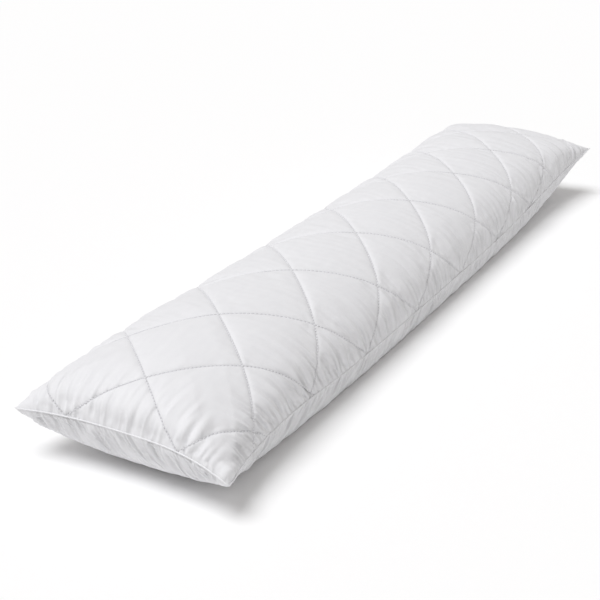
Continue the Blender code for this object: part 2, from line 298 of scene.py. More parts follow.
def trimPanelEdge(cloth):
    # threads that meet the panel's edge almost at one place are run together
    s = quiltSettings
    merge = s["seamMerge"]
    size = (panelWidth, panelLength)

    def toEdge(vert):
        return min(vert.co.x, size[0] - vert.co.x, vert.co.y, size[1] - vert.co.y)

    def isCorner(vert):
        return all(min(vert.co[i], size[i] - vert.co[i]) < s["onEdge"] for i in (0, 1))

    def turnOf(vert):
        # the points on the edge come first, one side of the panel after the other
        return toEdge(vert) > s["onEdge"], vert.co.x > size[0] / 2, vert.co.y, vert.co.x

    def cellOf(vert):
        return int(vert.co.x / merge), int(vert.co.y / merge)

    moved, grid = {}, {}
    order = sorted(cloth.verts, key=turnOf)
    anchors = [v for v in cloth.verts if isCorner(v)]
    for vert in anchors:
        grid.setdefault(cellOf(vert), []).append(vert)
    for vert in order:
        if vert in anchors or toEdge(vert) > merge * s["mergeInside"]:
            continue
        cellX, cellY = cellOf(vert)
        cells = [(cellX + i, cellY + j) for i in (-1, 0, 1) for j in (-1, 0, 1)]
        around = [a for cell in cells for a in grid.get(cell, [])]
        close = [a for a in around if (a.co - vert.co).length < merge]
        if close:
            moved[vert] = min(close, key=lambda a: (a.co - vert.co).length)
        elif toEdge(vert) < s["onEdge"]:
            grid.setdefault((cellX, cellY), []).append(vert)
    bmesh.ops.weld_verts(cloth, targetmap=moved)
    # the edge is made straight
    for vert in cloth.verts:
        if vert.is_boundary:
            for i in (0, 1):
                if vert.co[i] < s["onEdge"]:
                    vert.co[i] = 0.0
                elif size[i] - vert.co[i] < s["onEdge"]:
                    vert.co[i] = size[i]
    # no thread or cell spans the edge's points alone, so that the sewn panels part inside the seam
    chords = [e for e in cloth.edges if not e.is_boundary and all(v.is_boundary for v in e.verts)]
    bmesh.ops.dissolve_edges(cloth, edges=chords, use_verts=False)
    wide = [f for f in cloth.faces if sum(v.is_boundary for v in f.verts) > 2]
    bmesh.ops.poke(cloth, faces=wide)


def sewPanels(panel):
    # the underside is a second panel, turned over and sewn to the top all round the edge
    cloth = bmesh.new()
    cloth.from_mesh(panel.data)
    trimPanelEdge(cloth)
    place = cloth.verts.layers.float_vector.new("cloth")
    for vert in cloth.verts:
        # the third value is the side: 1 on top, 0 on the seam and -1 underneath
        side = 0.0 if vert.is_boundary else 1.0
        vert[place] = (vert.co.x / panelWidth, vert.co.y, side)
    underside = cloth.copy()
    turned = underside.verts.layers.float_vector["cloth"]
    for vert in underside.verts:
        shareU, runV, side = vert[turned]
        vert[turned] = (shareU, runV, -side)
    bmesh.ops.reverse_faces(underside, faces=underside.faces[:])
    # the second material is the plain cloth
    for face in underside.faces:
        face.material_index = 1
    second = bpy.data.meshes.new("underside")
    underside.to_mesh(second)
    underside.free()
    cloth.from_mesh(second)
    bpy.data.meshes.remove(second)
    seamVerts = [v for v in cloth.verts if v.is_boundary]
    bmesh.ops.remove_doubles(cloth, verts=seamVerts, dist=1e-6)
    cloth.to_mesh(panel.data)
    cloth.free()


def clothPlaces(mesh):
    shareU, runV, side = readVectors(mesh, "cloth").T
    return np.clip(shareU, 0, 1), np.clip(runV, 0, panelLength), side


def quiltPhases(mesh):
    phaseP, phaseQ, _ = readVectors(mesh, "quilt").T
    return phaseP, np.minimum(phaseQ, quiltSettings["lastDown"])


def filledPlaces(shareU, runV, side):
    # where each point of cloth lies on the smooth filling
    upper = layOnFilling(shareU, runV, acrossTop, topShell)
    lower = layOnFilling(shareU, runV, acrossUnderside, undersideShell)
    return np.where((side >= 0)[:, None], upper, lower)


clothSettings = {
    "startPuff": 0.0035,       # the quilting's height before the cloth is let go
    "quickPuff": 0.0036,       # and without the simulation
    "puffFade": 0.10,          # share of the width over which the quilting dies away to the seams
    "frames": 20, "pressure": 3.2,
    "quality": 5, "mass": 0.15, "tension": 15, "shear": 5, "bending": 0.1,
    "sewnReach": 0.0005,       # the cloth is held this near a sewn line
    "restingHeight": 0.0001,   # and the underside this near the floor
    "spareCloth": 0.004,       # extra cloth in the middle of the diamonds
    "spareAtSeam": 0.035,      # extra cloth gathered along the seams
    "spareLevels": 10,         # steps from the one to the other
    "gatherReach": 0.075,      # how far in from a seam it is gathered
    "mostMove": 0.010,         # the cloth never moves further than this
    "fineBand": 0.055,         # the underside is divided finely this far in from the seams
    "smoothRounds": 2,
}


def seamDistance(shareU, runV):
    # metres of cloth to the nearest side seam and to the nearest end seam
    toSide = np.minimum(shareU, 1 - shareU) * panelWidth
    toEnd = np.minimum(runV, panelLength - runV)
    return toSide, toEnd


def lineDistance(phase):
    # metres across the cloth to the nearest sewn line of one direction
    s = quiltSettings
    return np.abs((phase % 2) - 1) * s["columnStep"] * panelWidth * s["rowStep"] / (2 * phaseUnit)


def nearestLine(mesh):
    # metres across the cloth to the nearest sewn line of either direction
    phaseP, phaseQ = quiltPhases(mesh)
    return np.minimum(lineDistance(phaseP), lineDistance(phaseQ))


def puffFade(shareU, runV):
    toSide, toEnd = seamDistance(shareU, runV)
    reach = clothSettings["puffFade"]
    fromSide = np.clip(toSide / (reach * panelWidth), 0, 1)
    fromEnd = np.clip(toEnd / (reach * shapeSettings["cornerWidth"]), 0, 1)
    return fromSide * fromEnd


def letClothGo(pillow, start):
    # the cover, a little larger than the filling, is blown out between its seams and sewn lines
    s = clothSettings
    mesh = pillow.data
    shareU, runV, side = clothPlaces(mesh)
    sewn = (nearestLine(mesh) < s["sewnReach"]) & (side > 0)
    seam = side == 0
    resting = (side < 0) & (start[:, 2] < s["restingHeight"])
    toSide, toEnd = seamDistance(shareU, runV)
    gather = np.exp(-(np.minimum(toSide, toEnd) / s["gatherReach"]) ** 2)
    held = pillow.vertex_groups.new(name="held")
    held.add(np.nonzero(sewn | seam | resting)[0].tolist(), 1.0, "REPLACE")
    spare = pillow.vertex_groups.new(name="spare")
    levels = s["spareLevels"]
    for level in range(levels + 1):
        chosen = np.nonzero(np.round(gather * levels) == level)[0]
        spare.add(chosen.tolist(), level / levels, "REPLACE")
    modifier = pillow.modifiers.new("filling", "CLOTH")
    cloth = modifier.settings
    cloth.quality = s["quality"]
    cloth.mass = s["mass"]
    cloth.tension_stiffness = s["tension"]
    cloth.compression_stiffness = s["tension"]
    cloth.shear_stiffness = s["shear"]
    cloth.bending_stiffness = s["bending"]
    cloth.use_pressure = True
    cloth.uniform_pressure_force = s["pressure"]
    cloth.vertex_group_mass = "held"
    cloth.pin_stiffness = 1
    cloth.vertex_group_shrink = "spare"
    cloth.shrink_min = -s["spareCloth"]
    cloth.shrink_max = -s["spareAtSeam"]
    cloth.effector_weights.gravity = 0
    modifier.collision_settings.use_collision = False
    modifier.point_cache.frame_start = 1
    modifier.point_cache.frame_end = s["frames"]
    scene = bpy.context.scene
    for frameNumber in range(1, s["frames"] + 1):
        scene.frame_set(frameNumber)
    makeActive(pillow)
    bpy.ops.object.modifier_apply(modifier="filling")
    scene.frame_set(1)
    pillow.vertex_groups.clear()
    moved = getPoints(pillow) - start
    far = np.linalg.norm(moved, axis=1, keepdims=True)
    print("cloth moved mm: median %.1f, most %.1f" % (np.median(far) * 1000, far.max() * 1000))
    return moved * np.tanh(far / s["mostMove"]) * s["mostMove"] / np.maximum(far, 1e-9)


def startPuff(mesh):
    shareU, runV, side = clothPlaces(mesh)
    phaseP, phaseQ = quiltPhases(mesh)
    dome = np.abs(np.cos(np.pi * phaseP / 2) * np.cos(np.pi * phaseQ / 2))
    height = clothSettings["startPuff"]
    return (height * dome ** 0.5 * puffFade(shareU, runV) * (side > 0))[:, None]


def refineCover(pillow):
    # the quilted top and the band under the seam are divided once more, the rest lies out of sight
    mesh = pillow.data
    shareU, runV, side = clothPlaces(mesh)
    toSide, toEnd = seamDistance(shareU, runV)
    fine = (side > 0) | (np.minimum(toSide, toEnd) < clothSettings["fineBand"])
    makeActive(pillow)
    for polygon in mesh.polygons:
        polygon.select = bool(fine[list(polygon.vertices)].all())
    bpy.ops.object.mode_set(mode="EDIT")
    bpy.context.tool_settings.mesh_select_mode = (False, False, True)
    bpy.ops.mesh.subdivide(number_cuts=1)
    bpy.ops.object.mode_set(mode="OBJECT")


def smoothed(mesh, values, side):
    # evens out the divided mesh's values; the seams keep theirs
    ends = np.empty(len(mesh.edges) * 2, int)
    mesh.edges.foreach_get("vertices", ends)
    first, second = ends.reshape(-1, 2).T
    for _ in range(clothSettings["smoothRounds"]):
        total = np.zeros_like(values)
        count = np.zeros(len(values))
        np.add.at(total, first, values[second])
        np.add.at(total, second, values[first])
        np.add.at(count, first, 1)
        np.add.at(count, second, 1)
        mean = total / np.maximum(count, 1)[:, None]
        values = np.where((side == 0)[:, None], values, (values + mean) / 2)
    return values


pleatSettings = {
    "seed": 11,
    # the cloth is eased into the seam, so it draws in along short valleys at right angles to it
    # spacing along the seam, then the least and most of depth, half width and length, and the lean
    "leftTop": [(0.0125, (0.0007, 0.0026), (0.0032, 0.0048), (0.060, 0.190), 0.15),
                (0.034, (0.0010, 0.0024), (0.0080, 0.0120), (0.090, 0.190), 0.15)],
    "rightTop": [(0.0112, (0.0018, 0.0042), (0.0028, 0.0038), (0.040, 0.110), 0.40),
                 (0.029, (0.0010, 0.0028), (0.0080, 0.0110), (0.070, 0.120), 0.40)],
    "endTop": [(0.0115, (0.0022, 0.0050), (0.0029, 0.0040), (0.035, 0.095), -0.14),
               (0.027, (0.0014, 0.0034), (0.0070, 0.0110), (0.060, 0.110), -0.14)],
    "sideUnder": [(0.0112, (0.0020, 0.0044), (0.0028, 0.0038), (0.045, 0.090), 0.30),
                  (0.027, (0.0010, 0.0026), (0.0080, 0.0120), (0.060, 0.090), 0.30)],
    "endUnder": [(0.0115, (0.0028, 0.0062), (0.0028, 0.0040), (0.045, 0.090), -0.55),
                 (0.027, (0.0014, 0.0034), (0.0080, 0.0120), (0.060, 0.090), -0.55)],
    # how much the valleys differ in place (share of the spacing), lean and curve
    "placeSpread": 0.28, "leanSpread": 0.14, "bendSpread": 1.2,
    "lateStart": (-0.25, 0.20),   # share of the length before a valley begins, none if below 0
    "deepenOver": 0.010,          # how far from its beginning a valley is at its full depth
    "widthAtSeam": 0.85, "widening": 0.50,
    "asideLimit": 0.05, "asideShare": 1.5,     # it strays less along the seam than these allow
    "deepest": 0.0070,
    # the cloth between the valleys stands proud by this share of what they take in on average
    "evenOut": 0.75, "evenOutOver": 0.030,
    "cornerEase": 0.020,          # how softly the valleys of two seams meet at a corner
    "cornerFree": 0.030, "cornerStart": 0.4,   # the points of the corners are stuffed tight
    "lineHold": 0.75, "lineReach": 0.010,      # the sewn lines hold the cloth flat
}


def pleats(run, away, length, rows, seed):
    # run goes along a seam of this length and away is the distance from it
    random = np.random.default_rng(seed)
    s = pleatSettings
    total = np.zeros(len(run))
    for spacing, depths, widths, lengths, lean in rows:
        usual = np.mean(depths) * np.mean(widths) * math.sqrt(math.pi) / spacing
        ending = np.clip(1 - (away / np.mean(lengths)) ** 2, 0, 1)
        total -= s["evenOut"] * usual * np.clip(away / s["evenOutOver"], 0, 1) * ending
        for place in np.arange(spacing / 2, length, spacing):
            place = place + random.uniform(-s["placeSpread"], s["placeSpread"]) * spacing
            depth, width = random.uniform(*depths), random.uniform(*widths)
            reach = random.uniform(*lengths)
            slant = lean + random.uniform(-1, 1) * s["leanSpread"]
            bend = random.uniform(-1, 1) * s["bendSpread"]
            begin = max(random.uniform(*s["lateStart"]), 0) * reach
            aside = s["asideLimit"] + s["asideShare"] * reach
            near = np.nonzero((away < reach) & (np.abs(run - place) < aside))[0]
            out = away[near]
            across = run[near] + slant * out + bend * out ** 2 - place
            wide = width * (s["widthAtSeam"] + s["widening"] * out / reach)
            share = np.clip((out - begin) / (reach - begin), 0, 1)
            swell = np.clip((out - begin) / s["deepenOver"], 0, 1) * (1 - share ** 2)
            total[near] += depth * swell * np.exp(-(across / wide) ** 2)
    return -s["deepest"] * (1 - np.exp(-total / s["deepest"]))


puckerSettings = {
    "seed": 31,
    # width along the sewn line, height, how far from the line they are full, and their reach
    "width": 0.0085, "height": 0.0024, "fullAt": 0.002, "reach": 0.016,
    # how they stray from straight, and over what stretches
    "lean": 0.2, "swerve": 0.35, "swerveEvery": 0.09, "waver": 0.5, "waverEvery": 0.03,
    "roundPower": 0.8, "roundGain": 1.6,
    "strength": 0.55, "strengthSpread": 0.45, "strengthEvery": 0.07,
    "reachSpread": 0.5, "reachEvery": 1.7,     # the second in widths
    "onCrown": 0.12, "edgeReach": 0.11,        # they are much fainter on the crown
    "lineOffset": 7.3,                         # so that no two lines are alike
}


def noiseAlong(run, every, seed):
    # smooth noise from -1 to 1 along a line, with a new value after each stretch of this length
    count, firstPlace = 4096, 1000
    values = np.random.default_rng(seed).uniform(-1, 1, count)
    place = run / every + firstPlace
    low = np.floor(place).astype(int)
    part = place - low
    part = part * part * (3 - 2 * part)
    return values[low % count] * (1 - part) + values[(low + 1) % count] * part


def puckers(run, away, seed):
    # valleys between short rounded folds, at right angles to a sewn line; run goes along the line
    s = puckerSettings
    key = seed * 100
    swerve = noiseAlong(run, s["swerveEvery"], key) * s["swerve"] * away
    waver = noiseAlong(away, s["waverEvery"], key + 1) * s["width"] * s["waver"]
    place = run + s["lean"] * away + (swerve + waver)
    folds = np.abs(noiseAlong(place, s["width"], key + 2)) ** s["roundPower"] * s["roundGain"]
    strength = s["strength"] + s["strengthSpread"] * noiseAlong(run, s["strengthEvery"], key + 3)
    differing = noiseAlong(run, s["width"] * s["reachEvery"], key + 4)
    length = s["reach"] * (1 + s["reachSpread"] * differing)
    window = (1 - np.exp(-away / s["fullAt"])) * np.exp(-(away / length) ** 2)
    return s["height"] * (np.minimum(folds, 1) - 1) * strength * window


def gathers(mesh):
    shareU, runV, side = clothPlaces(mesh)
    s = pleatSettings
    x = shareU * panelWidth
    toSide, toEnd = seamDistance(shareU, runV)
    top = side > 0
    found = np.zeros(len(side))
    seams = [
        (runV, x, panelLength, "leftTop", "sideUnder"),
        (runV, panelWidth - x, panelLength, "rightTop", "sideUnder"),
        (x, runV, panelWidth, "endTop", "endUnder"),
        (x, panelLength - runV, panelWidth, "endTop", "endUnder"),
    ]
    for index, (run, away, length, topName, underName) in enumerate(seams):
        # each seam's pleats keep to their own side of the corner's diagonal
        other = toEnd if index < 2 else toSide
        ease = np.clip((other - away) / s["cornerEase"] + 1, 0, 1)
        for chosen, name in ((top, topName), (~top, underName)):
            valleys = pleats(run[chosen], away[chosen], length, s[name], s["seed"] + index)
            found[chosen] += valleys * ease[chosen]
    found *= np.clip(np.hypot(toSide, toEnd) / s["cornerFree"] - s["cornerStart"], 0, 1)
    hold = s["lineHold"] * np.exp(-(nearestLine(mesh) / s["lineReach"]) ** 2)
    found *= np.where(top, 1 - hold, 1)
    # short puckers beside the sewn lines
    s = puckerSettings
    atEdge = np.exp(-(np.minimum(toSide, toEnd) / s["edgeReach"]) ** 2)
    atEdge = s["onCrown"] + (1 - s["onCrown"]) * atEdge
    phaseP, phaseQ = quiltPhases(mesh)
    for index, (across, along) in enumerate([(phaseP, phaseQ), (phaseQ, phaseP)]):
        run = along * phaseUnit + np.round((across + 1) / 2) * s["lineOffset"]
        found += puckers(run, lineDistance(across), s["seed"] + index) * atEdge * top
    return found * (side != 0)


channelSettings = {"depth": 0.0011, "width": 0.0032, "power": 1.5}


def sewnChannels(mesh):
    # the sewn lines lie in narrow channels
    s = channelSettings
    shareU, runV, side = clothPlaces(mesh)
    channel = s["depth"] * np.exp(-(nearestLine(mesh) / s["width"]) ** s["power"])
    return -channel * puffFade(shareU, runV) * (side > 0)


foldSettings = {
    "archStart": 0.12, "archPower": 0.7,       # a fold's height is an arch, from this part of it on
    "startWidth": 0.6, "widening": 0.6,
    # the folds that stand out: from and to on the cloth (shareU, runV), half width and height
    "folds": [
        {"start": (0.782, 0.006), "end": (0.768, 0.085), "width": 0.006, "height": -0.0035},
        {"start": (0.800, 0.010), "end": (0.795, 0.075), "width": 0.007, "height": 0.0030},
        {"start": (0.973, 0.010), "end": (0.975, 0.028), "width": 0.010, "height": 0.0070},
    ],
}


def boldFolds(mesh):
    s = foldSettings
    shareU, runV, side = clothPlaces(mesh)
    found = np.zeros(len(side))
    x = shareU * panelWidth
    for fold in s["folds"]:
        startX, startY = fold["start"][0] * panelWidth, fold["start"][1]
        goesX, goesY = fold["end"][0] * panelWidth - startX, fold["end"][1] - startY
        length = math.hypot(goesX, goesY)
        along = ((x - startX) * goesX + (runV - startY) * goesY) / length
        across = ((x - startX) * goesY - (runV - startY) * goesX) / length
        share = np.clip(along / length, 0, 1)
        beyond = np.maximum(along - length, 0) + np.maximum(-along, 0)
        part = s["archStart"] + (1 - s["archStart"]) * share
        arch = np.sin(np.pi * part) ** s["archPower"]
        width = fold["width"] * (s["startWidth"] + s["widening"] * share)
        shape = np.exp(-(across / width) ** 2 - (beyond / fold["width"]) ** 2)
        found += fold["height"] * arch * shape * (side > 0)
    return found


pillow = cutPanel("quilted_cover")
sewPanels(pillow)
shareU, runV, side = clothPlaces(pillow.data)
setPoints(pillow.data, filledPlaces(shareU, runV, side))
start = getPoints(pillow) + vertexNormals(pillow.data) * startPuff(pillow.data)
setPoints(pillow.data, start)
print("panels sewn together:", len(pillow.data.polygons), "faces")

# the move of each point goes through the subdivision with the cloth
moved = letClothGo(pillow, start)
writeVectors(pillow.data, "moved", moved)
refineCover(pillow)
shareU, runV, side = clothPlaces(pillow.data)
moved = smoothed(pillow.data, readVectors(pillow.data, "moved"), side)
setPoints(pillow.data, filledPlaces(shareU, runV, side))
setPoints(pillow.data, getPoints(pillow) + vertexNormals(pillow.data) * startPuff(pillow.data) + moved)
normals = vertexNormals(pillow.data)
raised = gathers(pillow.data) + sewnChannels(pillow.data) + boldFolds(pillow.data)
points = getPoints(pillow) + normals * raised[:, None]
points[:, 2] = np.maximum(points[:, 2], 0)
setPoints(pillow.data, points)


def newMaterial(name):
    material = bpy.data.materials.new(name)
    material.use_nodes = True
    material.node_tree.nodes.clear()
    return material, material.node_tree


def addNode(tree, kind, settings=None, links=None):
    # a setting is the node's own or one of its sockets'
    node = tree.nodes.new(kind)
    for name, value in (settings or {}).items():
        if isinstance(name, str) and hasattr(node, name):
            setattr(node, name, value)
        else:
            node.inputs[name].default_value = value
    for name, source in (links or {}).items():
        tree.links.new(source, node.inputs[name])
    return node


def hexColour(code):
    # an sRGB colour turned to linear
    values = [int(code[i:i + 2], 16) / 255 for i in (0, 2, 4)]
    return (*[v / 12.92 if v <= 0.04045 else ((v + 0.055) / 1.055) ** 2.4 for v in values], 1.0)


microfibreSettings = {
    # the third colour is painted shade for the needle pits between the stitches
    "white": "ededef", "slubShade": "e6e6e9", "paintedPitShade": "cfcfd3",
    "roughness": 0.86, "sheen": 0.10,
    # threads 0.2 mm apart are too fine to show, so the weave is drawn as a coarser ripple
    "rippleSpacing": 0.010053, "rippleHeight": 0.00004,
    "slubSpacing": 0.0263,       # the white varies every 26 mm or so
    "creaseHeight": 0.0060,
    "stitchesPerSide": 24,       # along one side of a diamond
    "grooveWidth": 0.0026, "grooveDepth": 0.0004,
    "pitShare": 0.42, "pitWidth": 0.0011, "pitBottom": 0.4, "pitEdge": 0.06, "pitDepth": 0.0003,
}


def makeMicrofibre(name, quilted):
    # woven microfibre: matt with a faint sheen, a slightly uneven white, faint ripples, fine creases
    s = microfibreSettings
    material, tree = newMaterial(name)
    cloth = addNode(tree, "ShaderNodeUVMap", {"uv_map": "cloth"}).outputs["UV"]
    ripples = []
    rippleScale = math.pi / 10 / s["rippleSpacing"]    # at scale 1 a wave is pi / 10 long
    for direction in ("X", "Y"):
        wave = addNode(tree, "ShaderNodeTexWave", {
            "bands_direction": direction, "Scale": rippleScale}, {"Vector": cloth})
        ripples.append(wave.outputs["Fac"])
    ripple = addNode(tree, "ShaderNodeMath", {"operation": "MULTIPLY"}, {0: ripples[0], 1: ripples[1]})
    slub = addNode(tree, "ShaderNodeTexNoise", {
        "Scale": 1 / s["slubSpacing"], "Detail": 3.0}, {"Vector": cloth})
    gather = addNode(tree, "ShaderNodeAttribute", {"attribute_name": "gather"}).outputs["Fac"]
    creaseMap = addNode(tree, "ShaderNodeAttribute", {"attribute_name": "creaseRun"}).outputs["Vector"]
    crease = addNode(tree, "ShaderNodeTexNoise", {"Scale": 1.0, "Detail": 0.0}, {"Vector": creaseMap})
    creased = addNode(tree, "ShaderNodeMath", {"operation": "MULTIPLY"},
                      {0: crease.outputs["Fac"], 1: gather})
    rippled = addNode(tree, "ShaderNodeBump", {"Strength": 0.35, "Distance": s["rippleHeight"]},
                      {"Height": ripple.outputs[0]})
    bump = addNode(tree, "ShaderNodeBump", {"Strength": 1.0, "Distance": s["creaseHeight"]},
                   {"Height": creased.outputs[0], "Normal": rippled.outputs["Normal"]})
    colour = addNode(tree, "ShaderNodeMix", {
        "data_type": "RGBA", 6: hexColour(s["slubShade"]), 7: hexColour(s["white"])},
        {0: slub.outputs["Fac"]}).outputs[2]
    if quilted:
        quilt = addNode(tree, "ShaderNodeUVMap", {"uv_map": "quilt"}).outputs["UV"]
        phases = addNode(tree, "ShaderNodeSeparateXYZ", links={"Vector": quilt}).outputs
        # the needle draws the cloth into a groove, deepest in the pits between the stitches
        pits, grooves = [], []
        for across, along in ((phases["X"], phases["Y"]), (phases["Y"], phases["X"])):
            fromLine = addNode(tree, "ShaderNodeMath", {"operation": "PINGPONG", 1: 1.0}, {0: across})
            groove = addNode(tree, "ShaderNodeMapRange", {
                "interpolation_type": "SMOOTHSTEP", "From Min": 1 - s["grooveWidth"] / phaseUnit},
                {"Value": fromLine.outputs[0]})
            nearLine = addNode(tree, "ShaderNodeMapRange", {
                "interpolation_type": "SMOOTHSTEP", "From Min": 1 - s["pitWidth"] / phaseUnit,
                "From Max": 1 - s["pitBottom"] * s["pitWidth"] / phaseUnit},
                {"Value": fromLine.outputs[0]})
            turn = addNode(tree, "ShaderNodeMath", {
                "operation": "MULTIPLY", 1: s["stitchesPerSide"] / 2}, {0: along})
            inStitch = addNode(tree, "ShaderNodeMath", {"operation": "PINGPONG", 1: 0.5},
                               {0: turn.outputs[0]})
            pitStart = 0.5 - s["pitShare"] / 2
            between = addNode(tree, "ShaderNodeMapRange", {
                "interpolation_type": "SMOOTHSTEP", "From Min": pitStart - s["pitEdge"],
                "From Max": pitStart + s["pitEdge"]}, {"Value": inStitch.outputs[0]})
            pit = addNode(tree, "ShaderNodeMath", {"operation": "MULTIPLY"},
                          {0: nearLine.outputs[0], 1: between.outputs[0]})
            grooves.append(groove.outputs[0])
            pits.append(pit.outputs[0])
        pit = addNode(tree, "ShaderNodeMath", {"operation": "MAXIMUM"}, {0: pits[0], 1: pits[1]})
        groove = addNode(tree, "ShaderNodeMath", {"operation": "MAXIMUM"}, {0: grooves[0], 1: grooves[1]})
        # the cloth is painted darker in the pits: painted shade where the needle drew the cloth in
        colour = addNode(tree, "ShaderNodeMix", {"data_type": "RGBA", 7: hexColour(s["paintedPitShade"])},
                         {0: pit.outputs[0], 6: colour}).outputs[2]
        for depth, hollow in ((s["grooveDepth"], groove), (s["pitDepth"], pit)):
            bump = addNode(tree, "ShaderNodeBump", {"Strength": 1.0, "Distance": depth, "invert": True},
                           {"Height": hollow.outputs[0], "Normal": bump.outputs["Normal"]})
    shader = addNode(tree, "ShaderNodeBsdfPrincipled", {
        "Roughness": s["roughness"], "Sheen Weight": s["sheen"], "Sheen Roughness": 0.5, "IOR": 1.45},
        {"Base Color": colour, "Normal": bump.outputs["Normal"]})
    addNode(tree, "ShaderNodeOutputMaterial", links={"Surface": shader.outputs["BSDF"]})
    return material


creaseSettings = {
    # creased most beside the seams, less on the crown and least at its near end
    "edgeReach": 0.080, "nearCrown": 0.07, "towardsFar": 0.33,
    "diagonalFree": 0.004, "diagonalFade": 0.030,      # smooth where two seams' creases meet
    "endTop": 1.15, "endTopLoss": 0.35, "rightGain": 0.7, "rightReach": 0.075,
    "endUnder": 2.1, "sideUnder": 1.8,                 # the underside is gathered hardest
    "sideLean": 0.3, "endTopLean": -0.14, "endUnderLean": -0.55,
    "alongSeam": 88, "fromSeam": 15,                   # creases 11 mm apart and much longer
    "apart": 5.0,                                      # so that sides and ends are not alike
}


def finishCover(pillow):
    s = creaseSettings
    mesh = pillow.data
    shareU, runV, side = clothPlaces(mesh)
    phaseP, phaseQ = quiltPhases(mesh)
    toSide, toEnd = seamDistance(shareU, runV)
    while mesh.uv_layers:
        mesh.uv_layers.remove(mesh.uv_layers[0])
    addUvMap(mesh, "cloth", shareU * panelWidth, runV)
    addUvMap(mesh, "quilt", phaseP, phaseQ)
    edge = np.exp(-(np.minimum(toSide, toEnd) / s["edgeReach"]) ** 2)
    crown = s["nearCrown"] + s["towardsFar"] * np.clip(runV / panelLength, 0, 1)
    fromDiagonal = np.abs(toSide - toEnd) - s["diagonalFree"]
    gather = (crown + (1 - crown) * edge) * np.clip(fromDiagonal / s["diagonalFade"], 0, 1) ** 2
    nearSide = toSide < toEnd
    atRight = (shareU > 0.5) * np.exp(-(toSide / s["rightReach"]) ** 2)
    endTop = s["endTop"] - s["endTopLoss"] * runV / panelLength
    onTop = np.where(nearSide, 1 + s["rightGain"] * atRight, endTop)
    gather *= np.where(side < 0, np.where(nearSide, s["sideUnder"], s["endUnder"]), onTop)
    mesh.attributes.new("gather", "FLOAT", "POINT").data.foreach_set("value", gather)
    # fine creases run away from the nearest seam, so the noise is stretched that way
    endLean = np.where(side > 0, s["endTopLean"], s["endUnderLean"])
    lean = np.where(nearSide, s["sideLean"], endLean)
    away = np.where(nearSide, toSide, toEnd)
    run = (np.where(nearSide, runV, shareU * panelWidth) + lean * away) * s["alongSeam"]
    writeVectors(mesh, "creaseRun", np.stack([run, away * s["fromSeam"], nearSide * s["apart"]], -1))
    mesh.attributes.remove(mesh.attributes["moved"])
    mesh.materials.append(makeMicrofibre("quilted_microfibre", True))
    mesh.materials.append(makeMicrofibre("plain_microfibre", False))
    mesh.shade_smooth()


finishCover(pillow)
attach(pillow, "root")
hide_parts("pillow")
print("cover finished:", sum(len(p.vertices) - 2 for p in pillow.data.polygons), "triangles")


stitchSettings = {
    "length": 0.0043, "radius": 0.0008, "proud": 0.0006, "dip": 0.0011,
    "slimmest": 0.16,            # the share of its thickness that an end keeps, squared
    "rings": 4, "sides": 6,
    "fromSeam": 0.004,           # no stitch has its middle nearer a seam than this
    "onLine": 0.002,             # a point this near a line's phase is on it
    "fewestPoints": 4,           # a line needs more than these
    # the grooves between the plies are painted this darker grey, as painted shade
    "paintedPlyShade": "dcdce0",
    "plyScale": 3.0,             # a ply every 0.2 mm of stitch
}


def threadMaterial(name, white):
    # spun thread: bright white, a little glossier than the cloth, with its plies showing close up and
    # painted shade in the grooves between them
    s = stitchSettings
    material, tree = newMaterial(name)
    place = addNode(tree, "ShaderNodeUVMap", {"uv_map": "along"}).outputs["UV"]
    plies = addNode(tree, "ShaderNodeTexWave", {
        "bands_direction": "DIAGONAL", "Scale": s["plyScale"]}, {"Vector": place}).outputs["Fac"]
    bump = addNode(tree, "ShaderNodeBump", {"Strength": 0.5, "Distance": 0.0002}, {"Height": plies})
    colour = addNode(tree, "ShaderNodeMix", {
        "data_type": "RGBA", 6: hexColour(s["paintedPlyShade"]), 7: hexColour(white)}, {0: plies})
    shader = addNode(tree, "ShaderNodeBsdfPrincipled", {"Roughness": 0.6, "Sheen Weight": 0.1},
                     {"Base Color": colour.outputs[2], "Normal": bump.outputs["Normal"]})
    addNode(tree, "ShaderNodeOutputMaterial", links={"Surface": shader.outputs["BSDF"]})
    return material


def sewnLines(pillow):
    # every sewn line as the phase along it, with its points and normals on the finished cloth
    s = stitchSettings
    side = clothPlaces(pillow.data)[2]
    points, normals = getPoints(pillow), vertexNormals(pillow.data)
    phases = quiltPhases(pillow.data)
    for family in (0, 1):
        across, along = phases[family], phases[1 - family]
        on = (np.abs((across % 2) - 1) < s["onLine"]) & (side > 0)
        for line in np.unique(np.round(across[on]).astype(int)):
            chosen = np.nonzero(on & (np.round(across) == line))[0]
            if len(chosen) > s["fewestPoints"]:
                chosen = chosen[np.argsort(along[chosen])]
                yield along[chosen], points[chosen], normals[chosen]


def oneStitch():
    # a short thread lying along Y, its ends going down into the cloth
    s = stitchSettings
    deselectAll()
    bpy.ops.mesh.primitive_cylinder_add(
        vertices=s["sides"], radius=s["radius"], depth=s["length"],
        end_fill_type="TRIFAN", rotation=(math.pi / 2, 0, 0),
    )
    stitch = bpy.context.object
    bpy.ops.object.transform_apply(location=True, rotation=True, scale=True)
    bpy.ops.object.mode_set(mode="EDIT")
    for ring in range(1, s["rings"]):
        place = s["length"] * (ring / s["rings"] - 0.5)
        bpy.ops.mesh.select_all(action="SELECT")
        bpy.ops.mesh.bisect(plane_co=(0, place, 0), plane_no=(0, 1, 0))
    bpy.ops.object.mode_set(mode="OBJECT")
    for vert in stitch.data.vertices:
        share = abs(vert.co.y) / (s["length"] / 2)
        slim = math.sqrt(max(1 - share ** 4, s["slimmest"]))
        vert.co.x *= slim
        vert.co.z = vert.co.z * slim + s["proud"] - s["dip"] * share ** 3
    return stitch


def placeOnLine(table, along, where):
    return np.array([np.interp(where, along, table[:, i]) for i in range(3)])


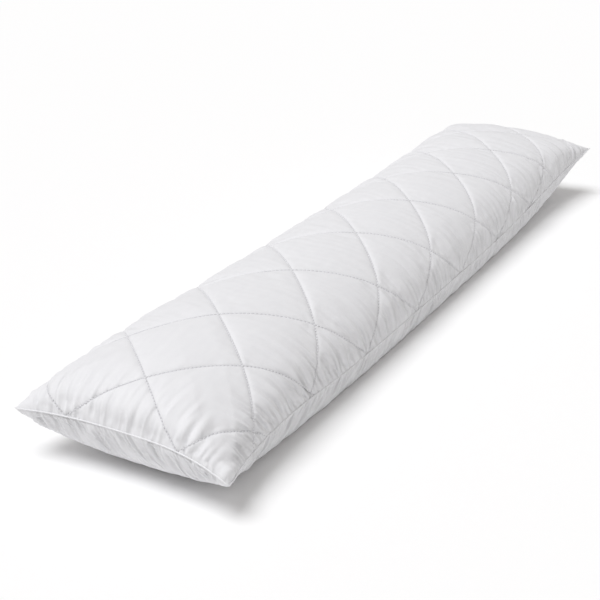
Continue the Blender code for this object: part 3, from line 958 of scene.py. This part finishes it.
def makeStitching(pillow):
    s = stitchSettings
    stitch = oneStitch()
    base = np.array([v.co for v in stitch.data.vertices])
    faces = [tuple(p.vertices) for p in stitch.data.polygons]
    bpy.data.objects.remove(stitch)
    perPhase = microfibreSettings["stitchesPerSide"] / 2
    margin = s["fromSeam"] / phaseUnit
    half = s["length"] / 2 / phaseUnit
    allPoints, allFaces = [], []
    for along, points, normals in sewnLines(pillow):
        first = math.ceil((along[0] + margin) * perPhase)
        last = math.floor((along[-1] - margin) * perPhase)
        for turn in range(first, last + 1):
            centre = turn / perPhase
            ahead = placeOnLine(points, along, centre + half) - placeOnLine(points, along, centre - half)
            ahead /= np.linalg.norm(ahead)
            up = placeOnLine(normals, along, centre)
            up -= ahead * up.dot(ahead)
            up /= np.linalg.norm(up)
            turned = np.stack([np.cross(ahead, up), ahead, up])
            allFaces += [tuple(i + len(allPoints) for i in face) for face in faces]
            allPoints += list(placeOnLine(points, along, centre) + base @ turned)
    mesh = bpy.data.meshes.new("quilt_stitching")
    mesh.from_pydata([tuple(p) for p in allPoints], [], allFaces)
    piece = addToScene("quilt_stitching", mesh)
    count = len(allPoints) // len(base)
    # the plies are drawn along each stitch in mm and round it in radians
    alongStitch = np.tile(base[:, 1] * 1000, count)
    aroundStitch = np.tile(np.arctan2(base[:, 2], base[:, 0]), count)
    addUvMap(mesh, "along", alongStitch, aroundStitch)
    mesh.materials.append(threadMaterial("sewing_thread", "fafafb"))
    mesh.shade_smooth()
    return piece, count


stitching, stitchCount = makeStitching(pillow)
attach(stitching, "root")
print("stitching:", stitchCount, "stitches")


pipingSettings = {"radius": 0.0010, "outOfSeam": 0.0001, "step": 0.004, "bevelSteps": 2}


def makePiping():
    # a thin cord sewn into the seam, one ring all round
    s = pipingSettings
    lengths = (shapeSettings["cornerWidth"], shapeSettings["cornerLength"])
    across, along = [np.linspace(-1, 1, round(length / s["step"]) + 1)[:-1] for length in lengths]
    u = np.concatenate([across, np.ones(len(along)), -across, -np.ones(len(along))])
    t = np.concatenate([-np.ones(len(across)), along, np.ones(len(across)), -along])
    seam = topShell(u, t)
    ahead = np.roll(seam, -1, axis=0) - np.roll(seam, 1, axis=0)
    outward = np.stack([ahead[:, 1], -ahead[:, 0], np.zeros(len(seam))], -1)
    outward /= np.linalg.norm(outward, axis=1, keepdims=True)
    route = seam + outward * s["outOfSeam"]    # half of the cord lies between the two cloths
    curve = bpy.data.curves.new("edge_piping_cord", "CURVE")
    curve.dimensions = "3D"
    curve.bevel_depth = s["radius"]
    curve.bevel_resolution = s["bevelSteps"]
    spline = curve.splines.new("POLY")
    spline.points.add(len(route) - 1)
    for point, place in zip(spline.points, route):
        point.co = (*place, 1)
    spline.use_cyclic_u = True
    makeActive(addToScene("edge_piping_cord", curve))
    bpy.ops.object.convert(target="MESH")
    piece = bpy.context.object
    piece.data.uv_layers.active.name = "along"
    piece.data.materials.append(threadMaterial("twisted_cotton_cord", "f8f8f9"))
    piece.data.shade_smooth()
    return piece


piping = makePiping()
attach(piping, "root")
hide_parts("edge_piping")
print("piping laid round the seam")


roomSettings = {
    "floor": "fdfdfd", "floorSize": 120, "skyColour": "fffcf9", "skyStrength": 0.42,
    "keyColour": "fcfdff", "keyPower": 2.06, "keySoftness": 34.0,
    "keyAzimuth": 240.0, "keyElevation": 68.0,    # degrees, as is the softness
}


def makeFloor():
    deselectAll()
    bpy.ops.mesh.primitive_plane_add(size=roomSettings["floorSize"])
    floor = bpy.context.object
    floor.name = "floor"
    material = bpy.data.materials.new("matt_white_paper")
    material.use_nodes = True
    shader = material.node_tree.nodes["Principled BSDF"]
    shader.inputs["Base Color"].default_value = hexColour(roomSettings["floor"])
    shader.inputs["Roughness"].default_value = 1.0
    shader.inputs["Specular IOR Level"].default_value = 0.0
    floor.data.materials.append(material)


def makeLight():
    # an even sky and one large soft light from above
    s = roomSettings
    world = bpy.data.worlds.new("soft_room")
    world.use_nodes = True
    background = world.node_tree.nodes["Background"]
    background.inputs["Color"].default_value = hexColour(s["skyColour"])
    background.inputs["Strength"].default_value = s["skyStrength"]
    bpy.context.scene.world = world
    key = bpy.data.lights.new("key", "SUN")
    key.energy = s["keyPower"]
    key.angle = math.radians(s["keySoftness"])
    key.color = hexColour(s["keyColour"])[:3]
    lamp = addToScene("key", key)
    azimuth, elevation = math.radians(s["keyAzimuth"]), math.radians(s["keyElevation"])
    level = math.cos(elevation)
    towards = Vector((math.cos(azimuth) * level, math.sin(azimuth) * level, math.sin(elevation)))
    lamp.rotation_euler = towards.to_track_quat("Z", "Y").to_euler()
    bpy.context.scene.view_settings.view_transform = "Standard"


cameraSettings = {
    "place": (0.8432, -1.8140, 0.8671),
    "azimuth": 0.4928, "elevation": 0.41533, "roll": 0.01576,    # radians
    "lens": 76.63, "sensor": 36.0,                               # mm
}


def makeCamera():
    s = cameraSettings
    azimuth, elevation, roll = s["azimuth"], s["elevation"], s["roll"]
    level = math.cos(elevation)
    back = Vector((math.sin(azimuth) * level, -math.cos(azimuth) * level, math.sin(elevation)))
    right = Vector((math.cos(azimuth), math.sin(azimuth), 0))
    up = back.cross(right)
    tiltedRight = math.cos(roll) * right + math.sin(roll) * up
    tiltedUp = -math.sin(roll) * right + math.cos(roll) * up
    lens = bpy.data.cameras.new("camera")
    lens.lens = s["lens"]
    lens.sensor_width = s["sensor"]
    camera = addToScene("camera", lens)
    turned = Matrix((tiltedRight, tiltedUp, back)).transposed().to_4x4()
    camera.matrix_world = Matrix.Translation(s["place"]) @ turned
    bpy.context.scene.camera = camera


makeFloor()
makeLight()
makeCamera()
print("floor, light and camera placed")
